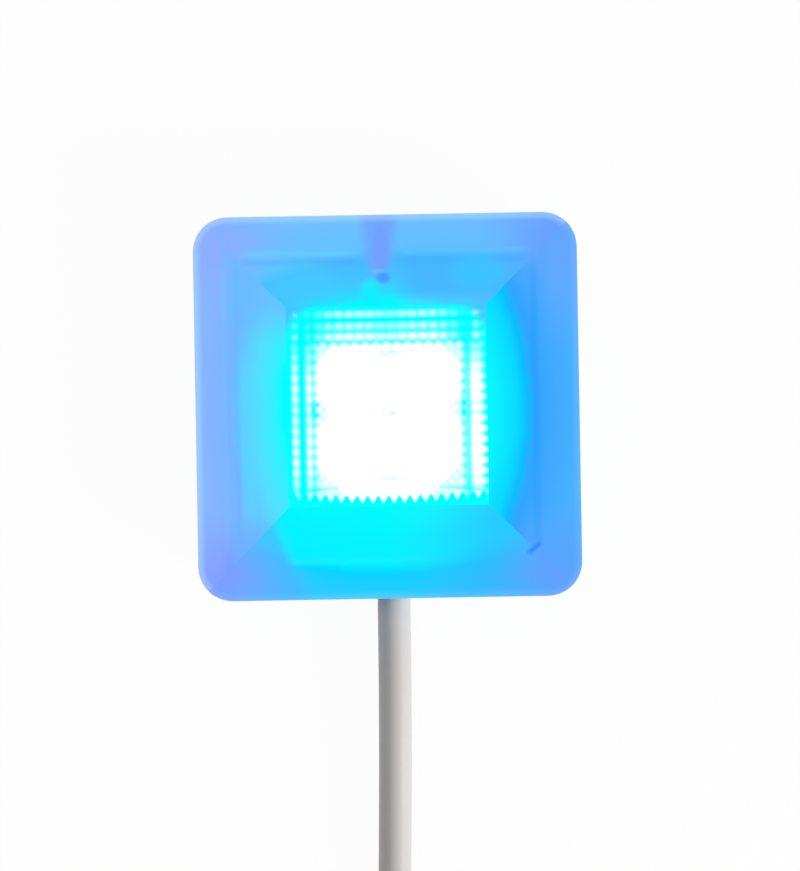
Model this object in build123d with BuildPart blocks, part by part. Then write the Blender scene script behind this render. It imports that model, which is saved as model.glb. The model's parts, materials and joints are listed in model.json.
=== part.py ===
from build123d import *

import os
from math import atan2, cos, degrees, pi, radians, sin, tan

# A square LED signal light with a flying lead, lying on its back.
# Millimetres. The origin is the centre of the back face, +Z is the way it shines,
# and the lead leaves through the -Y side.

os.makedirs("parts", exist_ok=True)

# ---- Driving dimensions -------------------------------------------------------------
cover_size = 60.0           # across the cover
cover_corner = 5.5          # corner radius of the cover, seen from the front
cover_wall = 2.2            # measured straight up through the sloping sides
cover_edge = 1.1            # rounded edge all round the front
cover_rim = 12.0            # height at which the sloping sides start
lens_flat_z = 19.0          # height of the flat that carries the prisms
lens_flat = 31.2            # side of that flat

prism_count = 19            # prisms along each side of the lens
prism_pitch = 1.62          # from one prism to the next
prism_height = 0.8          # valley to tip
prism_step = 0.2            # plain step under the prisms

lip_wall = 1.3              # drip lip of the cover, outside the base
lip_depth = 2.0
lip_gap = 0.2
base_height = 10.0          # back face to rim
base_floor = 2.0
base_wall = 3.4
skirt_wall = 1.6            # ring wall of the cover, inside the base
skirt_depth = 3.0
skirt_gap = 0.2
skirt_corner = 1.4

gasket_width = 1.4
gasket_depth = 1.0
gasket_gap = 0.1            # each side of the gasket in its groove

board_z = 9.5               # underside of the circuit board
board_t = 1.6
board_gap = 0.3             # board to ring wall
board_hole = 39.0           # spacing of the board screws
post_d = 5.4                # posts under the board
screw_d = 2.0               # every screw in the light is an M2
screw_clear = 2.3           # hole that a screw passes freely
thread_gap = 0.1            # on the diameter of a hole that a screw bites into
screw_head_d = 3.8
screw_head_t = 1.3

cover_screw_x = -0.6        # screw post of the cover
cover_screw_y = 20.3
cover_post_d = 3.6
cover_post_z = 6.0          # where the post stands on the base's boss
cover_boss_d = 6.6
counterbore_d = 4.6
counterbore_depth = 2.4
seal_t = 0.6

hook_x = 14.0               # the two hooks of the cover, left and right
hook_width = 6.0
hook_reach = 0.8
hook_height = 1.1
hook_gap = 0.2              # above, below and beside a hook in its pocket
hook_room = 0.5             # from a hook's tip to the bottom of its pocket

key_back = 1.9              # key rib to the sharp corner of the ring, measured along one side
key_t = 0.8
key_length = 3.4
key_gap = 0.45              # rib to the cut corner of the board
corner_depth = 5.0          # more than what is left of the board beyond that cut

insert_spacing = 40.0       # two M4 inserts in the back
insert_d = 5.6
insert_length = 5.0
insert_core_d = 3.3         # core hole of an M4 thread
insert_boss_d = 8.6
insert_boss_z = 7.0

vent_to_post = 3.8          # middle of the vent to the posts' inner side
vent_stem_d = 5.0
vent_head_d = 7.8
vent_head_t = 0.8

led_offset = 5.0            # the four LEDs stand at plus and minus this
led_body = 3.5
led_body_t = 0.7
led_dome_r = 1.3

cable_d = 5.2
cable_x = 0.5
cable_z = 4.8
sleeve_wall = 0.9           # grommet
grommet_flange = 0.7        # how far its flanges stand out round the sleeve
grommet_outer_t = 1.2
grommet_inner_t = 1.0
core_d = 1.3
core_off = 0.7              # the four cores from the middle of the cable

clamp_y = -20.0
clamp_width = 3.6
clamp_t = 1.2
clamp_screw_x = 6.2         # from the middle of the cable
clamp_boss_d = 4.4

# The route of the lead, from its inner end to the coil.
cable_route = [
    (0.5, -17.0, 4.8),
    (0.5, -41.0, 4.8),
    (0.1, -65.5, 2.65),
    (-0.6, -90.5, 2.65),
    (-0.6, -114.0, 2.65),
]
coil_turns = 2.25
coil_start_r = 33.0         # middle of the cable at the start of the coil
coil_pitch = 5.3            # from turn to turn
tie_t = 0.5
tie_width = 3.0
tie_gap = 0.6

# The stripped ends inside the coil, from the cut end of the cable, as (along, across, height).
core_ends = {
    "white": [(0.0, -0.7, 2.4), (6.2, -0.7, 2.4), (12.2, 2.6, 1.4), (15.8, 8.4, 1.35), (17.0, 15.2, 1.3)],
    "brown": [(0.0, -0.7, 3.8), (5.6, -0.7, 3.8), (10.0, 4.2, 2.0), (11.7, 10.4, 1.4), (11.9, 17.0, 1.3)],
    "green": [(0.0, 0.7, 3.8), (5.2, 0.7, 3.8), (7.8, 6.6, 2.1), (7.6, 13.0, 1.4), (6.2, 19.2, 1.3)],
    "yellow": [(0.0, 0.7, 2.4), (3.6, 0.7, 2.4), (5.0, 5.6, 1.5), (3.4, 10.6, 1.4), (0.4, 15.0, 1.3)],
}
ferrule_collar_r = 1.2
ferrule_collar_length = 5.5
ferrule_r = 0.7
ferrule_length = 7.0
core_pads = {"white": -8.0, "brown": -3.0, "green": 4.0, "yellow": 9.0}
core_pad_y = -4.8
solder_t = 1.0
solder_top_r = 1.3

# ---- What follows from them ---------------------------------------------------------
cover_half = cover_size / 2
base_half = cover_half - lip_wall - lip_gap
base_corner = cover_corner - lip_wall - lip_gap
cavity_half = base_half - base_wall
skirt_half = cavity_half - skirt_gap
skirt_inner = skirt_half - skirt_wall
board_half = skirt_inner - board_gap
board_top = board_z + board_t
key_inset = 2 * skirt_inner - key_back     # x - y along the middle of the key rib
post_clear = board_hole / 2 - post_d / 2   # free room between the board's posts, from the middle
flat_half = lens_flat / 2
slope_half = cover_half - cover_edge
slope = (lens_flat_z - cover_rim) / (slope_half - flat_half)
apex_z = lens_flat_z + slope * flat_half
prism_half = prism_count * prism_pitch / 2
prism_valley = lens_flat_z + prism_step
cable_r = cable_d / 2
sleeve_r = cable_r + sleeve_wall
flange_r = sleeve_r + grommet_flange
bite_d = screw_d + thread_gap
tap_depth = 0.5             # how far a blind hole runs past its screw


def save(part, name):
    part.label = name
    export_step(part, f"parts/{name}.step")


def square_pyramid(apex, bottom):
    """A sharp four-sided pyramid with the slope of the cover, from `bottom` up to `apex`."""
    half = (apex - bottom) / slope
    with BuildPart() as pyramid:
        with BuildSketch(Plane.XY.offset(bottom)):
            Rectangle(2 * half, 2 * half)
        extrude(amount=apex - bottom - 0.01, taper=degrees(atan2(1, slope)))
    return pyramid.part


def bend_radii(points):
    """One radius for each corner of a route, as large as its two runs allow."""
    corners = [Vector(*point) for point in points]
    radii = []
    for before, corner, after in zip(corners, corners[1:], corners[2:]):
        turn = (corner - before).get_angle(after - corner)
        shorter = min((corner - before).length, (after - corner).length)
        radii.append(0.45 * shorter / tan(radians(turn) / 2))
    return radii


def tube(points, diameter, name):
    """A round tube along straight runs joined by tangent arcs."""
    radii = bend_radii(points)
    with BuildPart() as run:
        with BuildLine() as route:
            FilletPolyline(*points, radius=radii)
        with BuildSketch(Plane(origin=route.line @ 0, z_dir=route.line % 0)):
            Circle(diameter / 2)
        sweep()
    length = sum(edge.length for edge in route.edges())
    expected = pi * diameter ** 2 / 4 * length
    print(f"{name}: length {length:.1f}, radii {[round(r, 1) for r in radii]},",
          f"volume / (section x length) {run.part.volume / expected:.4f}")
    return run.part


def screw(at_z, length, points_up):
    """An M2 pan-head screw on the Z axis. `at_z` is where its head meets the work."""
    way = 1 if points_up else -1
    with BuildPart() as one:
        with BuildSketch(Plane.XY.offset(at_z)):
            Circle(screw_head_d / 2)
        extrude(amount=-way * screw_head_t)
        chamfer(one.faces().sort_by(Axis.Z)[0 if points_up else -1].edges(), 0.3)
        with BuildSketch(Plane.XY.offset(at_z)):
            Circle(screw_d / 2)
        extrude(amount=way * length)
        with BuildSketch(Plane.XY.offset(at_z - way * screw_head_t)):
            Rectangle(2.2, 0.5)
            Rectangle(0.5, 2.2)
        extrude(amount=way * 0.7, mode=Mode.SUBTRACT)
    return one.part


# ---- Base: the tray that holds everything -----------------------------------------------
groove_middle = (base_half + cavity_half) / 2
groove_half_width = gasket_width / 2 + gasket_gap
board_posts = [(x, y) for x in (-board_hole / 2, board_hole / 2) for y in (-board_hole / 2, board_hole / 2)]
insert_places = {"left": (-insert_spacing / 2, 0.0), "right": (insert_spacing / 2, 0.0)}
vent_place = (post_clear - vent_to_post, vent_to_post - post_clear)
clamp_places = [(cable_x - clamp_screw_x, clamp_y), (cable_x + clamp_screw_x, clamp_y)]
board_screw_length = 6.0
clamp_screw_length = 4.0
cover_screw_length = 10.0
hook_z = base_height - skirt_depth

with BuildPart() as base:
    with BuildSketch():
        RectangleRounded(2 * base_half, 2 * base_half, base_corner)
    extrude(amount=base_height)
    chamfer(base.faces().sort_by(Axis.Z)[0].edges(), 0.6)
    with BuildSketch(Plane.XY.offset(base_floor)):
        RectangleRounded(2 * cavity_half, 2 * cavity_half, skirt_corner + skirt_gap)
    extrude(amount=base_height, mode=Mode.SUBTRACT)
    # groove for the gasket, in the rim
    with BuildSketch(Plane.XY.offset(base_height)):
        groove_outer = 2 * (groove_middle + groove_half_width)
        groove_inner = 2 * (groove_middle - groove_half_width)
        RectangleRounded(groove_outer, groove_outer, base_corner - 1)
        RectangleRounded(groove_inner, groove_inner, base_corner - 2, mode=Mode.SUBTRACT)
    extrude(amount=-gasket_depth, mode=Mode.SUBTRACT)
    # posts and bosses
    with BuildSketch(Plane.XY.offset(base_floor)):
        with Locations(*board_posts):
            Circle(post_d / 2)
    extrude(amount=board_z - base_floor)
    with BuildSketch(Plane.XY.offset(base_floor)):
        with Locations(*insert_places.values()):
            Circle(insert_boss_d / 2)
    extrude(amount=insert_boss_z - base_floor)
    with BuildSketch(Plane.XY.offset(base_floor)):
        with Locations((cover_screw_x, cover_screw_y)):
            Circle(cover_boss_d / 2)
    extrude(amount=cover_post_z - base_floor)
    with BuildSketch(Plane.XY.offset(base_floor)):
        with Locations(*clamp_places):
            Circle(clamp_boss_d / 2)
    extrude(amount=cable_z - base_floor)
    # blind holes for the screws that bite into the base
    with BuildSketch(Plane.XY.offset(board_z)):
        with Locations(*board_posts):
            Circle(bite_d / 2)
    extrude(amount=board_t - board_screw_length - tap_depth, mode=Mode.SUBTRACT)
    with BuildSketch(Plane.XY.offset(cable_z)):
        with Locations(*clamp_places):
            Circle(bite_d / 2)
    extrude(amount=clamp_t - clamp_screw_length, mode=Mode.SUBTRACT)
    # holes in the back: inserts, cover screw, vent
    with BuildSketch():
        with Locations(*insert_places.values()):
            Circle(insert_d / 2)
    extrude(amount=insert_length, mode=Mode.SUBTRACT)
    with BuildSketch(Plane.XY.offset(insert_length)):
        with Locations(*insert_places.values()):
            Circle(insert_core_d / 2)
    extrude(amount=tap_depth, mode=Mode.SUBTRACT)
    with BuildSketch():
        with Locations((cover_screw_x, cover_screw_y)):
            Circle(counterbore_d / 2)
    extrude(amount=counterbore_depth, mode=Mode.SUBTRACT)
    with BuildSketch():
        with Locations((cover_screw_x, cover_screw_y)):
            Circle(screw_clear / 2)
    extrude(amount=cover_post_z, mode=Mode.SUBTRACT)
    with BuildSketch():
        with Locations(vent_place):
            Circle(vent_head_d / 2)
    extrude(amount=vent_head_t, mode=Mode.SUBTRACT)
    with BuildSketch():
        with Locations(vent_place):
            Circle(vent_stem_d / 2)
    extrude(amount=base_floor, mode=Mode.SUBTRACT)
    # shallow bare panel in the back
    with BuildSketch():
        with Locations((-2.0, 1.0)):
            RectangleRounded(24, 14, 1.5)
    extrude(amount=0.4, mode=Mode.SUBTRACT)
    # hole for the grommet, and pockets for the cover's hooks, in the -Y wall
    with BuildSketch(Plane.XZ.offset(cavity_half)):
        with Locations((cable_x, cable_z)):
            Circle(sleeve_r)
    extrude(amount=base_wall, mode=Mode.SUBTRACT)
    with BuildSketch(Plane.XY.offset(hook_z - hook_gap)):
        with Locations((-hook_x, -cavity_half), (hook_x, -cavity_half)):
            Rectangle(hook_width + 2 * hook_gap, 2 * (hook_reach - skirt_gap + hook_room))
    extrude(amount=hook_height + 2 * hook_gap, mode=Mode.SUBTRACT)
save(base.part, "base")

# ---- Gasket ------------------------------------------------------------------------------
with BuildPart() as gasket:
    with BuildSketch(Plane.XY.offset(base_height - gasket_depth)):
        gasket_outer = 2 * groove_middle + gasket_width
        gasket_inner = 2 * groove_middle - gasket_width
        RectangleRounded(gasket_outer, gasket_outer, base_corner - 1 - gasket_gap)
        RectangleRounded(gasket_inner, gasket_inner, base_corner - 2 + gasket_gap, mode=Mode.SUBTRACT)
    extrude(amount=gasket_depth)
save(gasket.part, "gasket")

# ---- Lens cover: one moulding ---------------------------------------------------------------
outer_pyramid = square_pyramid(apex_z, base_height - lip_depth)
inner_pyramid = square_pyramid(apex_z - cover_wall, hook_z)

teeth = [(-prism_half, 0.0)]
for n in range(prism_count):
    left = -prism_half + n * prism_pitch
    teeth.append((left + prism_pitch / 2, prism_height))
    teeth.append((left + prism_pitch, 0.0))
sunk = prism_step + 0.5     # the prism block reaches down into the flat
tooth_outline = [(-prism_half, -sunk)] + teeth + [(prism_half, -sunk)]

with BuildPart() as prisms:
    with BuildSketch(Plane(origin=(0, 0, prism_valley), x_dir=(1, 0, 0), z_dir=(0, -1, 0))):
        with BuildLine():
            Polyline(*tooth_outline, close=True)
        make_face()
    extrude(amount=prism_half, both=True)
    with BuildSketch(Plane(origin=(0, 0, prism_valley), x_dir=(0, 1, 0), z_dir=(1, 0, 0))):
        with BuildLine():
            Polyline(*tooth_outline, close=True)
        make_face()
    extrude(amount=prism_half, both=True, mode=Mode.INTERSECT)

with BuildPart() as cavity:
    with BuildSketch(Plane.XY.offset(hook_z)):
        RectangleRounded(2 * skirt_inner, 2 * skirt_inner, 0.6)
    extrude(amount=lens_flat_z - cover_wall + 0.2 - hook_z)
    add(inner_pyramid, mode=Mode.INTERSECT)

hook_tip = -skirt_half - hook_reach
hook_root = -skirt_half + 0.2
hook_outline = [(hook_root, hook_z), (-skirt_half, hook_z), (hook_tip, hook_z + 0.7),
                (hook_tip, hook_z + hook_height), (hook_root, hook_z + hook_height)]

with BuildPart() as lens_cover:
    with BuildSketch(Plane.XY.offset(base_height - lip_depth)):
        RectangleRounded(cover_size, cover_size, cover_corner)
    extrude(amount=lens_flat_z - base_height + lip_depth)
    add(outer_pyramid, mode=Mode.INTERSECT)
    rim_edges = lens_cover.edges().filter_by(
        lambda edge: cover_rim - 2 < edge.center().Z < cover_rim + 2
        and abs(edge.start_point().Z - edge.end_point().Z) < 1.5
        and max(abs(edge.center().X), abs(edge.center().Y)) > cover_half - cover_corner / 2)
    fillet(rim_edges, cover_edge)
    # room for the base and its contents
    with BuildSketch(Plane.XY.offset(base_height - lip_depth)):
        lip_inner = 2 * (cover_half - lip_wall)
        RectangleRounded(lip_inner, lip_inner, cover_corner - lip_wall)
    extrude(amount=lip_depth, mode=Mode.SUBTRACT)
    # ring wall that goes down inside the base
    with BuildSketch(Plane.XY.offset(hook_z)):
        RectangleRounded(2 * skirt_half, 2 * skirt_half, skirt_corner)
    extrude(amount=skirt_depth)
    add(cavity.part, mode=Mode.SUBTRACT)
    # key rib across one inner corner of the ring
    with BuildSketch(Plane.XY.offset(hook_z)):
        with Locations(Location((key_inset / 2, -key_inset / 2, 0), (0, 0, 45))):
            Rectangle(key_length, key_t)
    extrude(amount=base_height + 2 - hook_z)
    # screw post
    with BuildSketch(Plane.XY.offset(cover_post_z)):
        with Locations((cover_screw_x, cover_screw_y)):
            Circle(cover_post_d / 2)
    extrude(amount=base_height + 5 - cover_post_z)
    with BuildSketch(Plane.XY.offset(cover_post_z)):
        with Locations((cover_screw_x, cover_screw_y)):
            Circle(bite_d / 2)
    extrude(amount=counterbore_depth - seal_t + cover_screw_length + tap_depth - cover_post_z,
            mode=Mode.SUBTRACT)
    # hooks on the outside of the ring wall
    for middle in (-hook_x, hook_x):
        with BuildSketch(Plane.YZ.offset(middle - hook_width / 2)):
            with BuildLine():
                Polyline(*hook_outline, close=True)
            make_face()
        extrude(amount=hook_width)
    # notch through lip and ring wall, round the grommet
    with BuildSketch(Plane.XY.offset(cover_post_z)):
        with Locations((cable_x, -(cover_half + skirt_inner) / 2)):
            Rectangle(2 * flange_r + 0.8, cover_size / 2 - skirt_inner + 1)
    extrude(amount=base_height - cover_post_z, mode=Mode.SUBTRACT)
    add(prisms.part)
save(lens_cover.part, "lens_cover")

# ---- Circuit board ----------------------------------------------------------------------------
with BuildPart() as led_board:
    with BuildSketch(Plane.XY.offset(board_z)):
        RectangleRounded(2 * board_half, 2 * board_half, 0.8)
        # open slot round the screw post, and the corner that the key rib fits
        with Locations((cover_screw_x, cover_screw_y + 2)):
            Rectangle(cover_post_d + 0.8, 2 * 2 + cover_post_d + 0.8, mode=Mode.SUBTRACT)
        corner_cut = key_inset / 2 - (key_t / 2 + key_gap - corner_depth / 2) / 2 ** 0.5
        with Locations(Location((corner_cut, -corner_cut, 0), (0, 0, 45))):
            Rectangle(2 * corner_depth, corner_depth, mode=Mode.SUBTRACT)
        with Locations(*board_posts):
            Circle(screw_clear / 2, mode=Mode.SUBTRACT)
    extrude(amount=board_t)
save(led_board.part, "led_board")

board_screw = screw(board_top, board_screw_length, points_up=False)
board_screws = Compound(children=[Location((x, y, 0)) * board_screw for x, y in board_posts])
save(board_screws, "board_screws")

# ---- LEDs -------------------------------------------------------------------------------------
led_places = [(x, y) for y in (led_offset, -led_offset) for x in (-led_offset, led_offset)]
for n, place in enumerate(led_places, start=1):
    with BuildPart() as led_body_part:
        with BuildSketch(Plane.XY.offset(board_top)):
            with Locations(place):
                RectangleRounded(led_body, led_body, 0.2)
        extrude(amount=led_body_t)
    save(led_body_part.part, f"led_body_{n}")
    with BuildPart() as led_dome:
        with Locations((*place, board_top + led_body_t)):
            Sphere(led_dome_r, arc_size1=0, align=(Align.CENTER, Align.CENTER, Align.MIN))
    save(led_dome.part, f"led_dome_{n}")


# ---- Parts on the underside of the board -----------------------------------------------------------
def chip(name, x, y, length, width, height, lead):
    """A moulded chip under the board, with a terminal at each end."""
    with BuildPart() as component:
        with BuildSketch(Plane.XY.offset(board_z)):
            with Locations((x, y)):
                Rectangle(length, width * 0.7)
        extrude(amount=-height / 2)
        with BuildSketch(Plane.XY.offset(board_z - 0.1)):
            with Locations((x, y)):
                Rectangle(length - 2 * lead, width)
        extrude(amount=0.1 - height)
        chamfer(component.faces().sort_by(Axis.Z)[0].edges(), min(0.2, height / 4))
    save(component.part, name)


for n, x in enumerate((-9.0, -4.0, 4.0, 9.0), start=1):
    chip(f"resistor_{n}", x, 6.0, 3.2, 1.6, 0.6, 0.3)
for n, x in enumerate((-7.0, 7.0), start=1):
    chip(f"regulator_{n}", x, 12.0, 4.5, 2.6, 1.5, 0.4)
surge_y = 3.8 - post_clear     # clear of the post beside it
chip("polarity_diode", -14.5, surge_y + 5.0, 5.0, 2.6, 2.1, 0.5)
chip("surge_diode", -14.5, surge_y, 5.4, 3.6, 2.3, 0.6)
chip("smoothing_capacitor", 15.0, -7.5, 7.3, 4.3, 2.8, 0.8)
chip("flash_controller", 0.5, 1.0, 6.0, 4.9, 1.5, 0.6)

# ---- Cable ends inside: cores and their solder joints -------------------------------------------------
core_places = {"white": (-1, -1), "brown": (-1, 1), "green": (1, 1), "yellow": (1, -1)}
inner_end = cable_route[0]
for colour, (side, up) in core_places.items():
    pad_x = core_pads[colour]
    core_end_z = board_z - solder_t
    start = (inner_end[0] + side * core_off, inner_end[1], inner_end[2] + up * core_off)
    core_points = [
        start,
        (start[0], inner_end[1] + 3.5, start[2]),
        (start[0] * 0.3 + pad_x * 0.7, inner_end[1] + 8.0, start[2] - 0.2),
        (pad_x, core_pad_y, start[2] - 0.1),
        (pad_x, core_pad_y, core_end_z),
    ]
    save(tube(core_points, core_d, f"core_{colour}_inner"), f"core_{colour}_inner")
    with BuildPart() as solder_joint:
        with Locations((pad_x, core_pad_y, core_end_z + solder_t / 2)):
            Cone(core_d / 2 + 0.15, solder_top_r, solder_t)
    save(solder_joint.part, f"solder_joint_{colour}")

# ---- Screw and seal that hold the cover ------------------------------------------------------------------
cover_seat = counterbore_depth - seal_t
cover_screw = Location((cover_screw_x, cover_screw_y, 0)) * screw(cover_seat, cover_screw_length, True)
save(cover_screw, "cover_screw")

with BuildPart() as seal_washer:
    with BuildSketch(Plane.XY.offset(cover_seat)):
        with Locations((cover_screw_x, cover_screw_y)):
            Circle(counterbore_d / 2 - 0.1)
            Circle(screw_d / 2 + 0.05, mode=Mode.SUBTRACT)
    extrude(amount=seal_t)
save(seal_washer.part, "seal_washer")

# ---- Threaded inserts in the back --------------------------------------------------------------------------
for side, place in insert_places.items():
    with BuildPart() as insert:
        with BuildSketch():
            with Locations(place):
                Circle(insert_d / 2)
        extrude(amount=insert_length)
        with BuildSketch(Plane.XY.offset(insert_length / 2 - 0.4)):
            with Locations(place):
                Circle(insert_d / 2)
                Circle(insert_d / 2 - 0.3, mode=Mode.SUBTRACT)
        extrude(amount=0.8, mode=Mode.SUBTRACT)
        with BuildSketch():
            with Locations(place):
                Circle(insert_core_d / 2)
        extrude(amount=insert_length, mode=Mode.SUBTRACT)
    save(insert.part, f"insert_{side}")

# ---- Vent plug ------------------------------------------------------------------------------------------------
with BuildPart() as vent_plug:
    with BuildSketch():
        with Locations(vent_place):
            Circle(vent_head_d / 2)
    extrude(amount=vent_head_t)
    with BuildSketch(Plane.XY.offset(vent_head_t)):
        with Locations(vent_place):
            Circle(vent_stem_d / 2)
    extrude(amount=base_floor - vent_head_t)
    with BuildSketch(Plane.XY.offset(base_floor)):
        with Locations(vent_place):
            Circle(vent_stem_d / 2 + 0.3)
    extrude(amount=0.6)
    with BuildSketch():
        with Locations(vent_place):
            with PolarLocations(2.4, 6):
                Circle(0.35)
            Circle(0.35)
    extrude(amount=0.5, mode=Mode.SUBTRACT)
save(vent_plug.part, "vent_plug")

# ---- Grommet -----------------------------------------------------------------------------------------------------
with BuildPart() as grommet:
    with BuildSketch(Plane.XZ.offset(cavity_half - grommet_inner_t)):
        with Locations((cable_x, cable_z)):
            Circle(flange_r)
        # the inner flange is cut flat where it stands on the floor
        with Locations((cable_x, base_floor - flange_r)):
            Rectangle(2 * flange_r, 2 * flange_r, mode=Mode.SUBTRACT)
    extrude(amount=grommet_inner_t)
    with BuildSketch(Plane.XZ.offset(cavity_half)):
        with Locations((cable_x, cable_z)):
            Circle(sleeve_r)
    extrude(amount=base_wall)
    with BuildSketch(Plane.XZ.offset(base_half)):
        with Locations((cable_x, cable_z)):
            Circle(flange_r)
    extrude(amount=grommet_outer_t)
    fillet(grommet.faces().sort_by(Axis.Y)[0].edges(), 0.4)
    with BuildSketch(Plane.XZ.offset(cavity_half - grommet_inner_t)):
        with Locations((cable_x, cable_z)):
            Circle(cable_r)
    extrude(amount=base_wall + grommet_inner_t + grommet_outer_t, mode=Mode.SUBTRACT)
save(grommet.part, "grommet")

# ---- Cable clamp and its screws -------------------------------------------------------------------------------------
with BuildPart() as cable_clamp:
    with BuildSketch(Plane.XZ.offset(-clamp_y - clamp_width / 2)):
        with Locations((cable_x, cable_z + clamp_t / 2)):
            Rectangle(2 * clamp_screw_x + clamp_boss_d, clamp_t)
        with Locations((cable_x, cable_z)):
            Circle(cable_r + clamp_t)
            Circle(cable_r, mode=Mode.SUBTRACT)
        with Locations((cable_x, cable_z - cable_d)):
            Rectangle(4 * cable_d, 2 * cable_d, mode=Mode.SUBTRACT)
    extrude(amount=clamp_width)
    with BuildSketch(Plane.XY.offset(cable_z)):
        with Locations(*clamp_places):
            Circle(screw_clear / 2)
    extrude(amount=clamp_t, mode=Mode.SUBTRACT)
save(cable_clamp.part, "cable_clamp")

clamp_screw = screw(cable_z + clamp_t, clamp_screw_length - 0.3, points_up=False)
clamp_screws = Compound(children=[Location((x, y, 0)) * clamp_screw for x, y in clamp_places])
save(clamp_screws, "clamp_screws")

# ---- The lead -----------------------------------------------------------------------------------------------------------
save(tube(cable_route, cable_d, "cable"), "cable")

coil_x = cable_route[-1][0] + coil_start_r
coil_y = cable_route[-1][1]
coil_z = tie_t + cable_r
coil_half = coil_pitch / 2


def coil_r(turns):
    """Middle of the cable after so many turns, from the middle of the coil."""
    return coil_start_r - coil_pitch * turns


with BuildPart() as cable_coil:
    with BuildSketch(Plane(origin=(coil_x, coil_y, tie_t))):
        # outside: two half circles that draw in by one pitch, and the step where the lead enters
        with BuildLine():
            outer_start = (-coil_r(0) - coil_half, 0)
            outer_middle = (coil_r(0.5) + coil_half, 0)
            outer_end = (-coil_r(1) - coil_half, 0)
            lower_r = (outer_middle[0] - outer_start[0]) / 2
            upper_r = (outer_middle[0] - outer_end[0]) / 2
            ThreePointArc(outer_start, (outer_start[0] + lower_r, -lower_r), outer_middle)
            ThreePointArc(outer_middle, (outer_middle[0] - upper_r, upper_r), outer_end)
            Line(outer_end, outer_start)
        make_face()
        # inside: the same along the last turn, with the step where the cable is cut
        with BuildLine():
            inner_start = (0, -coil_r(coil_turns - 1) + coil_half)
            inner_middle = (0, coil_r(coil_turns - 0.5) - coil_half)
            inner_stop = (0, -coil_r(coil_turns) + coil_half)
            right_r = (inner_middle[1] - inner_start[1]) / 2
            left_r = (inner_middle[1] - inner_stop[1]) / 2
            ThreePointArc(inner_start, (right_r, inner_start[1] + right_r), inner_middle)
            ThreePointArc(inner_middle, (-left_r, inner_middle[1] - left_r), inner_stop)
            Line(inner_stop, inner_start)
        make_face(mode=Mode.SUBTRACT)
    extrude(amount=cable_d)
save(cable_coil.part, "cable_coil")
mean_turn = 2 * pi * coil_r(coil_turns / 2)
print(f"coil: {coil_turns} turns, {mean_turn * coil_turns:.1f} of cable")

# ---- Two ties round the coil ------------------------------------------------------------------------------------------------
tie_angles = {"coil_tie_1": 45.0, "coil_tie_2": 225.0}
for name, angle in tie_angles.items():
    outer_turn = ((angle - 180) % 360) / 360
    last_turn = outer_turn + int(coil_turns - outer_turn)
    tie_outer = coil_r(outer_turn) + coil_half + tie_gap
    tie_inner = coil_r(last_turn) - coil_half - tie_gap
    middle = (tie_outer + tie_inner) / 2
    outward = Vector(cos(radians(angle)), sin(radians(angle)), 0)
    tie_plane = Plane(origin=Vector(coil_x, coil_y, coil_z) + outward * middle,
                      x_dir=outward, z_dir=outward.cross(Vector(0, 0, 1)))
    with BuildPart() as coil_tie:
        with BuildSketch(tie_plane):
            RectangleRounded(tie_outer - tie_inner + 2 * tie_t, cable_d + 2 * tie_t, 0.9)
            Rectangle(tie_outer - tie_inner, cable_d, mode=Mode.SUBTRACT)
            # the two ends, twisted together and laid down on the coil
            with Locations((tie_t, (cable_d + 3 * tie_t) / 2 + 0.25)):
                RectangleRounded(8.0, 1.1, 0.4)
        extrude(amount=tie_width / 2, both=True)
    save(coil_tie.part, name)

# ---- Stripped ends ------------------------------------------------------------------------------------------------------------
cut_x = coil_x
cut_y = coil_y - coil_r(coil_turns)
for colour, points in core_ends.items():
    placed = [(cut_x + along, cut_y + across, height) for along, across, height in points]
    save(tube(placed, core_d, f"core_{colour}"), f"core_{colour}")
    way = (Vector(*placed[-1]) - Vector(*placed[-2])).normalized()
    with BuildPart() as collar:
        with BuildSketch(Plane(origin=placed[-1], z_dir=way)):
            Circle(ferrule_collar_r)
        extrude(amount=ferrule_collar_length)
        chamfer(collar.edges(), 0.2)
    save(collar.part, f"ferrule_collar_{colour}")
    with BuildPart() as ferrule:
        with BuildSketch(Plane(origin=Vector(*placed[-1]) + way * ferrule_collar_length, z_dir=way)):
            Circle(ferrule_r)
        extrude(amount=ferrule_length)
        chamfer(ferrule.edges().sort_by(lambda e: (e.center() - Vector(*placed[-1])).length)[-1], 0.15)
    save(ferrule.part, f"ferrule_{colour}")
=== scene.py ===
# %% [markdown]
# # A glowing square signal light, drawn with shader maths
# The light is a white tray, a satin blue cover and a grey lead. The frame brings every hard part at
# its real size. What is left for Blender is how each surface looks, and what is soft: the lead.

# %% Load the frame
import json
from math import cos, pi, radians, sin, tau

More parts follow.
